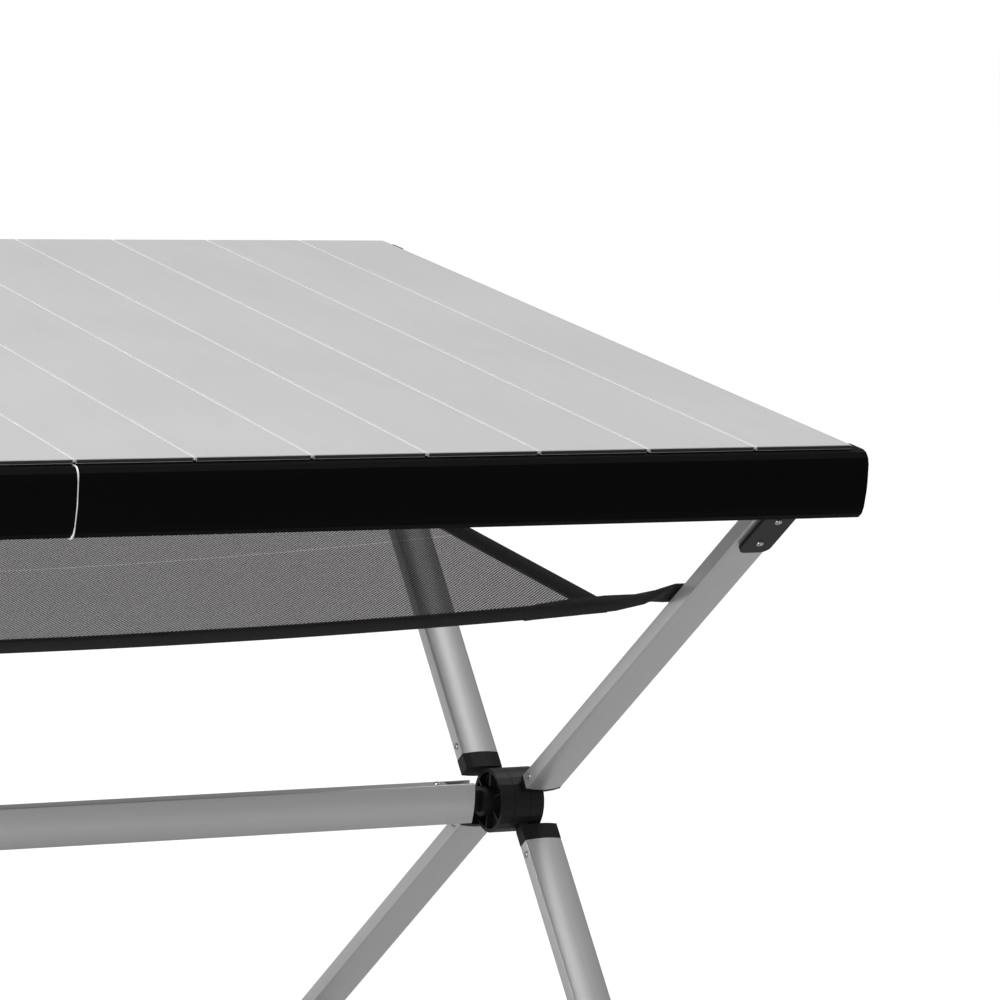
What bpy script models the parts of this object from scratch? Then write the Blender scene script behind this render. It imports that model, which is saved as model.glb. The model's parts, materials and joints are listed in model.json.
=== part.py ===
"""Folding camp table with a roll-up slat top, crossed legs and a net shelf.

Metres, +Z up, +X along the table, origin on the floor under the middle of the top.
One object for each piece; each is parented to the empty of the body it moves with.
"""

from math import acos, cos, pi, radians, sin

import bmesh
import bpy
from mathutils import Matrix, Vector

# Overall sizes
TOP_HEIGHT = 0.705
SLAT_LENGTH = 0.805
SLAT_PITCH = 0.0866
SLATS_PER_SIDE = 7
HUB_HEIGHT = 0.321
LEG_ANGLE = radians(46.7)

# Clearances between pieces
TOUCH = 0.0003
RUN = 0.0005
EDGE = 0.0002

# Slats
SLAT_GAP = 0.0016
END_SLAT_TRIM = 0.0058
SHEET = 0.0012
SLAT_END_THICKNESS = 0.003
HEM_WIDTH = 0.006
HEM_SETBACK = 0.040

# Rails
RAIL_INSIDE = 0.022
RAIL_OUTSIDE = 0.0108
RAIL_DEPTH = 0.0513
RAIL_WALL = 0.002
RAIL_END = 0.6095
RAIL_SEAM = 0.0005
RAIL_PIN_RADIUS = 0.004
PIVOT_X = 0.510

# Over-centre offset of the middle hinges of rails and tube
OVER_CENTRE = 0.0205
RAIL_HINGE_DROP = 0.0008
RAIL_KNUCKLE = 0.0024
RAIL_KNUCKLE_WIDTH = 0.0035
RAIL_LEAF_LENGTH = 0.040
RAIL_LEAF_DEPTH = 0.028

# Legs
HUB_X = 0.559
PLANE_STEP = 0.033
LEG_WIDTH = 0.032
LEG_THICKNESS = 0.016
LEG_SIDE = 0.0115
LEG_WALL = 0.0018
LEG_TOP_DROP = 0.045
FOOT_PIN_HEIGHT = 0.0165

# Hub
DISC_RADIUS = 0.026
DISC_RIM = 0.003
MID_DISC = 0.014
SIDE_DISC = 0.0115
COLLAR_START = 0.0275
COLLAR_END_A = 0.041
COLLAR_END_B = 0.031
NECK_INTO_COLLAR = 0.002
RIBS = 6
SPIGOT = 0.020
SPINDLE_RADIUS = 0.011
HUB_PIN_RADIUS = 0.006
HUB_RING = 0.009
HUB_PIN_SEAT = 0.004
YOKE_RADIUS = 0.012

# Cross tube and yoke
TUBE_HEIGHT = 0.033
TUBE_STUB = 0.014
TONGUE_THICKNESS = 0.006
TONGUE_RADIUS = 0.008
TUBE_PIN_RADIUS = 0.003
TUBE_KNUCKLE = 0.003
TUBE_KNUCKLE_WIDTH = 0.003
TUBE_LEAF_LENGTH = 0.030
HUB_PIN_HEAD_RADIUS = 0.0102
HUB_PIN_HEAD = 0.004

# Hangers and leg heads
HANGER_PLATE = 0.005
HANGER_MARGIN = 0.012
RAIL_PIN_REACH = 0.012
LUG_HALF_GAP = 0.0063
LUG_THICKNESS = 0.0057
EYE_RADIUS = 0.009
LEG_PIN_RADIUS = 0.0035
HEAD_SHOULDER = 0.006
HEAD_PLUG = 0.030
HEAD_PLATE_WIDTH = 0.026
HEAD_PLATE_THICKNESS = 0.003
HEAD_PLATE_START = 0.069
HEAD_PLATE_END = 0.0105
HEAD_PLATE_CORNER = 0.007

# Feet
FOOT_LENGTH = 0.046
FOOT_BASE = 0.005
FOOT_CHEEK = 0.004
FOOT_CHEEK_HALF = 0.009
FOOT_PIN_RADIUS = 0.004
FOOT_CORNER = 0.006
TUBE_PAST_FOOT_PIN = 0.0068

# Shelf
SHELF_HEIGHT = 0.544
SHELF_HALF_LENGTH = 0.505
BINDING_WIDTH = 0.012
BINDING_THICKNESS = 0.007
BINDING_STEPS = 12
NET_THICKNESS = 0.0014
NET_COLUMNS = 16
NET_ROWS = 6
NET_CORD = 0.0035
EDGE_SAG = 0.014
MIDDLE_SAG = 0.007
STRAP_WIDTH = 0.024
CORNER_TAB = 0.070

# Places worked out from the sizes above
SLAT_END = SLAT_LENGTH / 2
RAIL_TOP = TOP_HEIGHT - SLAT_END_THICKNESS - TOUCH
RAIL_INNER_Y = SLAT_END - RAIL_INSIDE
RAIL_HINGE_Z = RAIL_TOP - RAIL_HINGE_DROP
RAIL_PIVOT_Z = RAIL_HINGE_Z - OVER_CENTRE
TUBE_HINGE_Z = HUB_HEIGHT - OVER_CENTRE
INNER_PLANE = HUB_X - PLANE_STEP / 2
OUTER_PLANE = HUB_X + PLANE_STEP / 2
LEG_TOP_Z = TOP_HEIGHT - LEG_TOP_DROP
UPPER_REACH = (LEG_TOP_Z - HUB_HEIGHT) / cos(LEG_ANGLE)
LOWER_REACH = (HUB_HEIGHT - FOOT_PIN_HEIGHT) / cos(LEG_ANGLE)
LEG_TOP_Y = UPPER_REACH * sin(LEG_ANGLE)
FOOT_Y = LOWER_REACH * sin(LEG_ANGLE)
MIDDLE_SLAT = f"slat_{SLATS_PER_SIDE:02d}"
SHELF_REACH = (SHELF_HEIGHT - HUB_HEIGHT) / cos(LEG_ANGLE)
SHELF_Y = SHELF_REACH * sin(LEG_ANGLE)
DISC_FACE = HUB_X - MID_DISC / 2 - TOUCH - SIDE_DISC
HUB_BACK = HUB_X + MID_DISC / 2 + TOUCH + SIDE_DISC

X, Y, Z = Vector((1, 0, 0)), Vector((0, 1, 0)), Vector((0, 0, 1))


# Outlines and solids
def arc(centre, radius, start, end, steps):
    """Points on a circle from start to end, in degrees."""
    turns = [radians(start + (end - start) * step / steps) for step in range(steps + 1)]
    return [(centre[0] + radius * cos(turn), centre[1] + radius * sin(turn)) for turn in turns]


def rounded(corners, steps=3):
    """Outline through corners (u, v, radius), each rounded by its radius."""
    points = []
    for index, (u, v, radius) in enumerate(corners):
        here = Vector((u, v))
        before = Vector(corners[index - 1][:2])
        after = Vector(corners[(index + 1) % len(corners)][:2])
        if radius == 0:
            points.append((u, v))
            continue
        to_before = (before - here).normalized()
        to_after = (after - here).normalized()
        half = acos(max(-1, min(1, to_before.dot(to_after)))) / 2
        reach = radius * cos(half) / sin(half)
        centre = here + (to_before + to_after).normalized() * (radius / sin(half))
        start = here + to_before * reach - centre
        end = here + to_after * reach - centre
        sweep = start.angle_signed(end)
        for step in range(steps + 1):
            turn = Matrix.Rotation(-sweep * step / steps, 2)
            points.append(tuple(centre + turn @ start))
    return points


def box_outline(width, height, radius=0.0, steps=2):
    w, h = width / 2, height / 2
    return rounded([(-w, -h, radius), (w, -h, radius), (w, h, radius), (-w, h, radius)], steps)


def lens_outline(width, thickness, side, steps=5):
    """Flat narrow sides and crowned broad faces, width along u."""
    half, crown = width / 2, (thickness - side) / 2
    face = [-half + width * step / steps for step in range(steps + 1)]
    top = [(u, side / 2 + crown * (1 - (u / half) ** 2)) for u in face]
    return [(u, -v) for u, v in top] + top[::-1]


def frame(origin, along, across):
    """Matrix that sends u to across, w to along and v to their cross product."""
    w, u = along.normalized(), across.normalized()
    v = w.cross(u)
    place = Matrix((u, v, w)).transposed().to_4x4()
    place.translation = origin
    return place


def solid(outline, depth, place, start=0.0):
    """Prism of an outline from start to depth along w."""
    bm = bmesh.new()
    rings = [[bm.verts.new(place @ Vector((u, v, w))) for u, v in outline] for w in (start, depth)]
    bm.faces.new(rings[0][::-1])
    bm.faces.new(rings[1])
    side_walls(bm, rings[0], rings[1])
    bmesh.ops.recalc_face_normals(bm, faces=bm.faces)
    return bm


def side_walls(bm, low, high):
    for index in range(len(low)):
        bm.faces.new((low[index - 1], low[index], high[index], high[index - 1]))


def pipe(outer, inner, depth, place, start=0.0):
    """Hollow prism, open at both ends."""
    bm = bmesh.new()
    rings = [[[bm.verts.new(place @ Vector((u, v, w))) for u, v in outline] for w in (start, depth)]
             for outline in (outer, inner)]
    for low, high in rings:
        side_walls(bm, low, high)
    for end in (0, 1):
        side_walls(bm, rings[0][end], rings[1][end])
    bmesh.ops.recalc_face_normals(bm, faces=bm.faces)
    return bm


def box(low, high):
    centre = (Vector(low) + Vector(high)) / 2
    size = Vector(high) - Vector(low)
    return solid(box_outline(size.x, size.y), size.z / 2, Matrix.Translation(centre), -size.z / 2)


def rod(start, end, radius, sides=16):
    along = Vector(end) - Vector(start)
    across = Z if abs(along.normalized().z) < 0.9 else X
    return solid(arc((0, 0), radius, 0, 360 - 360 / sides, sides - 1), along.length,
                 frame(Vector(start), along, across))


# Objects
pieces = {}


def material(name, colour, roughness, metallic=0.0):
    made = bpy.data.materials.new(name)
    made.use_nodes = True
    shader = made.node_tree.nodes["Principled BSDF"]
    shader.inputs["Base Color"].default_value = (*colour, 1)
    shader.inputs["Roughness"].default_value = roughness
    shader.inputs["Metallic"].default_value = metallic
    return made


def as_object(name, bm):
    mesh = bpy.data.meshes.new(name)
    bm.to_mesh(mesh)
    bm.free()
    made = bpy.data.objects.new(name, mesh)
    bpy.context.scene.collection.objects.link(made)
    return made


def shape(base, add=(), cut=()):
    """Mesh of a base solid with solids joined to it and others cut from it."""
    body = as_object("shape", base)
    tools = []
    for operation, solids in (("UNION", add), ("DIFFERENCE", cut)):
        for tool_mesh in solids:
            tool = as_object("tool", tool_mesh)
            tools.append(tool)
            step = body.modifiers.new(operation.lower(), "BOOLEAN")
            step.operation = operation
            step.solver = "EXACT"
            step.object = tool
    bpy.context.view_layer.update()
    made = bpy.data.meshes.new_from_object(body.evaluated_get(bpy.context.evaluated_depsgraph_get()))
    for spent in [body, *tools]:
        bpy.data.objects.remove(spent)
    return made


def mirrored(mesh, x=1, y=1):
    """Copy of a mesh, mirrored across the YZ plane where x is -1 and the XZ plane where y is -1."""
    copy = mesh.copy()
    copy.transform(Matrix.Diagonal((x, y, 1, 1)))
    if x * y < 0:
        copy.flip_normals()
    return copy


def piece(name, mesh, finish):
    made = bpy.data.objects.new(name, mesh)
    mesh.materials.clear()
    mesh.materials.append(finish)
    mesh.shade_smooth()
    mesh.set_sharp_from_angle(angle=radians(35))
    bpy.context.scene.collection.objects.link(made)
    pieces[name] = made


def at_both_ends(name, mesh, finish):
    piece(f"{name}_right", mesh, finish)
    piece(f"{name}_left", mirrored(mesh, x=-1), finish)


# Slat top
def slat_mesh(low, high):
    """Sheet with a thick hem along both edges and flat pads where its ends rest on the rails."""
    def along_y(outline, half):
        return solid(outline, half, frame(Vector((0, 0, TOP_HEIGHT)), Y, X), -half)

    # frame() sends v to Y cross X, which points down, so depths are positive v
    edge = 0.0006
    sheet = along_y(rounded([(low, 0, edge), (high, 0, edge), (high, SHEET, 0), (low, SHEET, 0)], 2),
                    SLAT_END)
    hem_half = SLAT_END - HEM_SETBACK
    hems = [along_y([(min(ends), SHEET / 2), (max(ends), SHEET / 2), (max(ends), SLAT_END_THICKNESS),
                     (min(ends), SLAT_END_THICKNESS)], hem_half)
            for ends in ((low, low + HEM_WIDTH), (high, high - HEM_WIDTH))]
    pads = [box((low + edge, min(side * SLAT_END, side * RAIL_INNER_Y), TOP_HEIGHT - SLAT_END_THICKNESS),
                (high - edge, max(side * SLAT_END, side * RAIL_INNER_Y), TOP_HEIGHT - SHEET / 2))
            for side in (-1, 1)]
    return shape(sheet, add=hems + pads)


def slat_edges(index):
    """X of the left and right edge of slat 1 to 14, counted from the left."""
    low = (index - 1 - SLATS_PER_SIDE) * SLAT_PITCH + SLAT_GAP / 2
    high = (index - SLATS_PER_SIDE) * SLAT_PITCH - SLAT_GAP / 2
    if index == 1:
        low += END_SLAT_TRIM
    if index == 2 * SLATS_PER_SIDE:
        high -= END_SLAT_TRIM
    return low, high


def make_slats(finish):
    for index in range(1, 2 * SLATS_PER_SIDE + 1):
        piece(f"slat_{index:02d}", slat_mesh(*slat_edges(index)), finish)


# Rails
def rail_outline(inset):
    """Section of the front rail: u inwards from the slat ends, v up from the rail's top."""
    inside, outside = RAIL_INSIDE - inset, inset - RAIL_OUTSIDE
    top, bottom = -inset, inset - RAIL_DEPTH
    return rounded([(inside, top, 0.003 - inset / 2), (outside + 0.002, top, 0.010 - inset),
                    (outside, (top + bottom) / 2, 0.06), (outside + 0.003, bottom, 0.012 - inset),
                    (inside, bottom, 0.004 - inset / 2)], 3)


def hinge_barrel(slot, start, width, axis_z, radius, below):
    """One knuckle on the Y axis through x = 0, with the web that ties it to its leaf."""
    low_y = start + slot * (width + TOUCH)
    high_y = low_y + width
    web_z = sorted((axis_z - below * RUN, axis_z - below * (radius + RUN)))
    barrel = rod((0, low_y, axis_z), (0, high_y, axis_z), radius)
    web = box((0, low_y + EDGE, web_z[0]), (radius + 3 * RUN, high_y - EDGE, web_z[1]))
    return [barrel, web]


def make_rails(finish, steel):
    """Hollow halves, closed at their outer ends, that hinge at the middle along their top edge."""
    place = frame(Vector((0, -SLAT_END, RAIL_TOP)), X, Y)
    start = -RAIL_INNER_Y + RUN
    barrels_end = start + 3 * RAIL_KNUCKLE_WIDTH + 2 * TOUCH
    leaf_top = RAIL_HINGE_Z - RUN - EDGE
    leaf_start = RAIL_KNUCKLE + RUN
    pin_radius = RAIL_KNUCKLE / 2
    relief = 7 * (RAIL_HINGE_DROP + RUN)
    meshes = []
    for slots in ((1,), (0, 2)):
        leaf = box((leaf_start, start - RAIL_WALL, leaf_top - RAIL_LEAF_DEPTH),
                   (RAIL_LEAF_LENGTH, start + RAIL_WALL / 2, leaf_top))
        ledge = box((leaf_start + EDGE, start - RAIL_WALL / 2, leaf_top - 2 * RAIL_KNUCKLE),
                    (RAIL_LEAF_LENGTH / 2, barrels_end - EDGE, leaf_top - EDGE))
        barrels = [part for slot in slots
                   for part in hinge_barrel(slot, start, RAIL_KNUCKLE_WIDTH, RAIL_HINGE_Z, RAIL_KNUCKLE, 1)]
        bore = rod((0, start - EDGE, RAIL_HINGE_Z), (0, barrels_end + RUN, RAIL_HINGE_Z), pin_radius + TOUCH)
        pivot = rod((PIVOT_X, start, RAIL_PIVOT_Z), (PIVOT_X, start - 2 * RAIL_WALL, RAIL_PIVOT_Z),
                    RAIL_PIN_RADIUS + TOUCH)
        chamfer = solid([(-0.001, -0.001), (relief, -0.001), (0, RAIL_HINGE_DROP + RUN),
                         (-0.001, RAIL_HINGE_DROP + RUN)], start - RUN / 2,
                        frame(Vector((0, 0, RAIL_TOP)), Y, X), -SLAT_END - 2 * RAIL_OUTSIDE)
        meshes.append(shape(solid(rail_outline(0), RAIL_END, place, RAIL_SEAM), add=[leaf, ledge, *barrels],
                            cut=[solid(rail_outline(RAIL_WALL), RAIL_END - RAIL_WALL, place, -RAIL_WALL),
                                 bore, pivot, chamfer]))
    right, left = meshes[0], mirrored(meshes[1], x=-1)
    for name, mesh in (("right", right), ("left", left)):
        piece(f"rail_front_{name}", mesh, finish)
        piece(f"rail_back_{name}", mirrored(mesh, y=-1), finish)
    pin = shape(rod((0, start, RAIL_HINGE_Z), (0, barrels_end, RAIL_HINGE_Z), pin_radius, 12))
    piece("rail_hinge_pin_front", pin, steel)
    piece("rail_hinge_pin_back", mirrored(pin, y=-1), steel)


# Legs
def leg_frame(side, plane, upward=True):
    """Frame at the hub: w out along a leg tube towards y * side, u along X."""
    rise = 1 if upward else -1
    along = Vector((0, side * sin(LEG_ANGLE), rise * cos(LEG_ANGLE)))
    return frame(Vector((plane, 0, HUB_HEIGHT)), along, X)


def leg_outline(inset=0.0):
    return lens_outline(LEG_WIDTH - 2 * inset, LEG_THICKNESS - 2 * inset, LEG_SIDE - 2 * inset)


def leg_tube(place, start, end, foot=False):
    tube = pipe(leg_outline(), leg_outline(LEG_WALL), end, place, start)
    if not foot:
        return shape(tube)
    pin = place @ Vector((0, 0, LOWER_REACH))
    across = X * LEG_WIDTH
    return shape(tube, cut=[rod(pin - across, pin + across, FOOT_PIN_RADIUS + TOUCH)])


def make_legs(finish):
    """Leg A rises from the front foot to the back rail, leg B from the back foot to the front rail."""
    tube_end = UPPER_REACH - EYE_RADIUS - HEAD_SHOULDER
    for leg, top_side, top_plane, foot_plane, start in (
            ("a", 1, INNER_PLANE, OUTER_PLANE, COLLAR_END_A),
            ("b", -1, OUTER_PLANE, INNER_PLANE, COLLAR_END_B)):
        upper = leg_tube(leg_frame(top_side, top_plane), start + TOUCH, tube_end - TOUCH)
        lower = leg_tube(leg_frame(-top_side, foot_plane, upward=False), start + TOUCH,
                         LOWER_REACH + TUBE_PAST_FOOT_PIN, foot=True)
        at_both_ends(f"leg_{leg}_upper_tube", upper, finish)
        at_both_ends(f"leg_{leg}_lower_tube", lower, finish)


def make_leg_heads(finish):
    """Plug in a leg's top end with the eye that the hanger's pin runs in, and a plate on the leg's lower face."""
    tube_end = UPPER_REACH - EYE_RADIUS - HEAD_SHOULDER
    for leg, side, plane in (("a", 1, INNER_PLANE), ("b", -1, OUTER_PLANE)):
        place = leg_frame(side, plane)
        pin = place @ Vector((0, 0, UPPER_REACH))
        half = X * (LUG_HALF_GAP - TOUCH)
        plug = solid(leg_outline(LEG_WALL + TOUCH), tube_end + RUN, place, tube_end - HEAD_PLUG)
        neck = solid(box_outline(2 * half.x, 2 * EYE_RADIUS), UPPER_REACH, place, tube_end)
        face = side * (LEG_THICKNESS / 2 + TOUCH)
        middle = place @ Vector((0, face, UPPER_REACH - (HEAD_PLATE_START + HEAD_PLATE_END) / 2))
        outward = place.to_3x3() @ Vector((0, side, 0))
        plate = solid(box_outline(HEAD_PLATE_WIDTH, HEAD_PLATE_START - HEAD_PLATE_END, HEAD_PLATE_CORNER, 4),
                      HEAD_PLATE_THICKNESS, frame(middle, outward, X))
        head = shape(plug, add=[neck, rod(pin - half, pin + half, EYE_RADIUS, 20), plate],
                     cut=[rod(pin - 2 * half, pin + 2 * half, LEG_PIN_RADIUS + TOUCH)])
        at_both_ends(f"leg_{leg}_head", head, finish)


# Hubs
def collar(side, plane, upward, end):
    """Socket block of a hub, the size of the tube, and the spigot that fills the tube's end."""
    place = leg_frame(side, plane, upward)
    inset = LEG_WALL + TOUCH
    block = solid(leg_outline(), end, place, COLLAR_START)
    spigot = solid(leg_outline(inset), end + SPIGOT, place, COLLAR_START + EDGE)
    return [block, spigot]


def neck(side, low_x, high_x, upward):
    """Web from a disc out into its socket block."""
    place = leg_frame(side, (low_x + high_x) / 2, upward)
    return solid(box_outline(high_x - low_x - 2 * EDGE, LEG_SIDE - 2 * EDGE),
                 COLLAR_START + NECK_INTO_COLLAR, place, DISC_RADIUS / 2)


def disc(low_x, high_x, radius=DISC_RADIUS, sides=24):
    return rod((low_x, 0, HUB_HEIGHT), (high_x, 0, HUB_HEIGHT), radius, sides)


def make_hubs(finish):
    """A disc on leg A between two on leg B, which are joined by a spindle through it."""
    mid_low, mid_high = HUB_X - MID_DISC / 2, HUB_X + MID_DISC / 2
    plane_gap = (PLANE_STEP - LEG_WIDTH) / 2
    inner_low, inner_high = DISC_FACE, mid_low - TOUCH
    outer_low, outer_high = mid_high + TOUCH, HUB_BACK
    bore = HUB_PIN_RADIUS + TOUCH
    hub_a = shape(disc(mid_low, mid_high),
                  add=[*collar(1, INNER_PLANE, True, COLLAR_END_A), neck(1, mid_low, HUB_X - plane_gap, True),
                       *collar(-1, OUTER_PLANE, False, COLLAR_END_A), neck(-1, HUB_X + plane_gap, mid_high, False)],
                  cut=[disc(mid_low - RUN, mid_high + RUN, SPINDLE_RADIUS + TOUCH)])
    recess = DISC_FACE + SIDE_DISC / 2
    ribs = []
    for turn in range(RIBS):
        place = Matrix.Translation((0, 0, HUB_HEIGHT)) @ Matrix.Rotation(2 * pi * turn / RIBS, 4, X)
        rib = box((DISC_FACE, -DISC_RIM / 3, HUB_RING + DISC_RIM / 2),
                  (recess + RUN, DISC_RIM / 3, DISC_RADIUS - DISC_RIM / 2))
        bmesh.ops.transform(rib, matrix=place, verts=rib.verts)
        ribs.append(rib)
    dish = shape(disc(DISC_FACE - RUN, recess, DISC_RADIUS - DISC_RIM),
                 cut=[disc(DISC_FACE - 2 * RUN, recess + RUN, HUB_RING + DISC_RIM)])
    dish_bm = bmesh.new()
    dish_bm.from_mesh(dish)
    plate = shape(disc(inner_low, inner_high), cut=[dish_bm])
    plate_bm = bmesh.new()
    plate_bm.from_mesh(plate)
    hub_b_inner = shape(plate_bm,
                        add=[*ribs, *collar(1, INNER_PLANE, False, COLLAR_END_B),
                             neck(1, inner_low, inner_high, False)],
                        cut=[disc(inner_low - RUN, inner_high + RUN, bore)])
    hub_b_outer = shape(disc(outer_low, outer_high),
                        add=[disc(inner_high + TOUCH, outer_low + RUN, SPINDLE_RADIUS),
                             *collar(-1, OUTER_PLANE, True, COLLAR_END_B), neck(-1, outer_low, outer_high, True)],
                        cut=[disc(inner_low, outer_high + RUN, bore)])
    at_both_ends("hub_a", hub_a, finish)
    at_both_ends("hub_b_inner", hub_b_inner, finish)
    at_both_ends("hub_b_outer", hub_b_outer, finish)


# Cross tube and yokes
def make_yokes(plastic, steel):
    """Tongue inside the tube's end on a round boss against the hub, and the hub pin."""
    swing = (TUBE_STUB ** 2 + (TUBE_HEIGHT / 2) ** 2) ** 0.5
    boss_start = PIVOT_X + swing + RUN
    boss_end = DISC_FACE - TOUCH
    half = TONGUE_THICKNESS / 2
    tongue = box((PIVOT_X, -half, HUB_HEIGHT - TONGUE_RADIUS),
                 (boss_start + RUN, half, HUB_HEIGHT + TONGUE_RADIUS))
    nose = rod((PIVOT_X, -half, HUB_HEIGHT), (PIVOT_X, half, HUB_HEIGHT), TONGUE_RADIUS)
    yoke = shape(disc(boss_start, boss_end, YOKE_RADIUS, 20), add=[tongue, nose],
                 cut=[rod((PIVOT_X, -2 * half, HUB_HEIGHT), (PIVOT_X, 2 * half, HUB_HEIGHT),
                          TUBE_PIN_RADIUS + TOUCH),
                      disc(boss_end - HUB_PIN_SEAT, boss_end + RUN, HUB_PIN_RADIUS + TOUCH)])
    at_both_ends("yoke", yoke, plastic)
    hub_pin = shape(disc(boss_end - HUB_PIN_SEAT + TOUCH, HUB_BACK + TOUCH + RUN, HUB_PIN_RADIUS, 20),
                    add=[disc(HUB_BACK + TOUCH, HUB_BACK + HUB_PIN_HEAD, HUB_PIN_HEAD_RADIUS, 20)])
    at_both_ends("hub_pin", hub_pin, steel)


def make_cross_tube(finish, steel):
    """Two hollow halves, hinged below at the middle, on pins at the yokes."""
    outer = lens_outline(TUBE_HEIGHT, LEG_THICKNESS, LEG_SIDE)
    inset = LEG_WALL
    inner = lens_outline(TUBE_HEIGHT - 2 * inset, LEG_THICKNESS - 2 * inset, LEG_SIDE - 2 * inset)
    place = frame(Vector((0, 0, HUB_HEIGHT)), X, Z)
    bottom = HUB_HEIGHT - TUBE_HEIGHT / 2
    width = 3 * TUBE_KNUCKLE_WIDTH + 2 * TOUCH
    start = -width / 2
    leaf_low = TUBE_HINGE_Z + RUN + EDGE
    pin_radius = TUBE_KNUCKLE / 2
    slot_half = TONGUE_THICKNESS / 2 + RUN
    bore_half = (LEG_THICKNESS - LEG_WALL) / 2
    meshes = []
    for slots in ((1,), (0, 2)):
        leaf = box((TUBE_KNUCKLE + RUN, start, leaf_low),
                   (TUBE_LEAF_LENGTH, -start, bottom + LEG_WALL / 2))
        barrels = [part for slot in slots
                   for part in hinge_barrel(slot, start, TUBE_KNUCKLE_WIDTH, TUBE_HINGE_Z, TUBE_KNUCKLE, -1)]
        bore = rod((0, start - RUN, TUBE_HINGE_Z), (0, -start + RUN, TUBE_HINGE_Z), pin_radius + TOUCH)
        pin_hole = rod((PIVOT_X, -bore_half, HUB_HEIGHT), (PIVOT_X, bore_half, HUB_HEIGHT),
                       TUBE_PIN_RADIUS + TOUCH)
        slot = box((PIVOT_X - TONGUE_RADIUS - 3 * RUN, -slot_half, HUB_HEIGHT),
                   (PIVOT_X + 2 * TUBE_STUB, slot_half, HUB_HEIGHT + TUBE_HEIGHT))
        meshes.append(shape(pipe(outer, inner, PIVOT_X + TUBE_STUB, place, RAIL_SEAM), add=[leaf, *barrels],
                            cut=[bore, pin_hole, slot]))
    piece("cross_tube_right", meshes[0], finish)
    piece("cross_tube_left", mirrored(meshes[1], x=-1), finish)
    piece("cross_tube_hinge_pin",
          shape(rod((0, start, TUBE_HINGE_Z), (0, -start, TUBE_HINGE_Z), pin_radius, 12)), steel)
    half = bore_half - TOUCH
    at_both_ends("yoke_pin", shape(rod((PIVOT_X, -half, HUB_HEIGHT), (PIVOT_X, half, HUB_HEIGHT),
                                       TUBE_PIN_RADIUS)), steel)


# Hangers
def make_hangers(finish):
    """Plate behind a rail with a pin into it, and two lugs with the leg's pin between them."""
    for name, y_side, plane in (("front", -1, OUTER_PLANE), ("back", 1, INNER_PLANE)):
        near, far = RAIL_INNER_Y - TOUCH, RAIL_INNER_Y - TOUCH - HANGER_PLATE
        lug_back = LEG_TOP_Y

        def block(low_x, high_x, y_one, y_two, low_z, high_z):
            ys = sorted((y_side * y_one, y_side * y_two))
            return box((low_x, ys[0], low_z), (high_x, ys[1], high_z))

        plate = block(PIVOT_X - HANGER_MARGIN, plane + LUG_HALF_GAP + LUG_THICKNESS + RUN, far, near,
                      LEG_TOP_Z - EYE_RADIUS, RAIL_PIVOT_Z + HANGER_MARGIN)
        parts = []
        for lug_side in (-1, 1):
            xs = sorted(plane + lug_side * gap for gap in (LUG_HALF_GAP, LUG_HALF_GAP + LUG_THICKNESS))
            parts.append(block(*xs, lug_back, far + RUN, LEG_TOP_Z - EYE_RADIUS, LEG_TOP_Z + EYE_RADIUS))
            parts.append(rod((xs[0], y_side * LEG_TOP_Y, LEG_TOP_Z), (xs[1], y_side * LEG_TOP_Y, LEG_TOP_Z),
                             EYE_RADIUS, 20))
        parts.append(rod((plane - LUG_HALF_GAP - RUN, y_side * LEG_TOP_Y, LEG_TOP_Z),
                         (plane + LUG_HALF_GAP + RUN, y_side * LEG_TOP_Y, LEG_TOP_Z), LEG_PIN_RADIUS))
        parts.append(rod((PIVOT_X, y_side * (far + RUN), RAIL_PIVOT_Z),
                         (PIVOT_X, y_side * (near + RAIL_PIN_REACH), RAIL_PIVOT_Z), RAIL_PIN_RADIUS))
        at_both_ends(f"hanger_{name}", shape(plate, add=parts), finish)


# Feet
def make_feet(finish):
    """Flat pad with two cheeks and the pin that the leg tube turns on."""
    inner = LEG_WIDTH / 2 + RUN
    outer = inner + FOOT_CHEEK
    for name, y_side, plane in (("front", -1, OUTER_PLANE), ("back", 1, INNER_PLANE)):
        y = y_side * FOOT_Y
        base = solid(box_outline(2 * outer, FOOT_LENGTH, FOOT_CORNER), FOOT_BASE,
                     Matrix.Translation((plane, y, 0)))
        parts = []
        for cheek_side in (-1, 1):
            xs = sorted(plane + cheek_side * gap for gap in (inner, outer))
            parts.append(box((xs[0], y - FOOT_CHEEK_HALF, FOOT_BASE / 2),
                             (xs[1], y + FOOT_CHEEK_HALF, FOOT_PIN_HEIGHT)))
            parts.append(rod((xs[0], y, FOOT_PIN_HEIGHT), (xs[1], y, FOOT_PIN_HEIGHT),
                             FOOT_CHEEK_HALF, 20))
        parts.append(rod((plane - inner - RUN, y, FOOT_PIN_HEIGHT), (plane + inner + RUN, y, FOOT_PIN_HEIGHT),
                         FOOT_PIN_RADIUS))
        at_both_ends(f"foot_{name}", shape(base, add=parts), finish)


# Shelf
def sag(x, y):
    """How far the shelf hangs below its corners."""
    along = max(0.0, 1 - (x / SHELF_HALF_LENGTH) ** 2)
    across = max(0.0, 1 - (y / SHELF_Y) ** 2)
    return EDGE_SAG * along + MIDDLE_SAG * across * along


def hung(bm, height):
    for vert in bm.verts:
        vert.co.z += height - sag(vert.co.x, vert.co.y)
    bmesh.ops.recalc_face_normals(bm, faces=bm.faces)
    return bm


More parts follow.
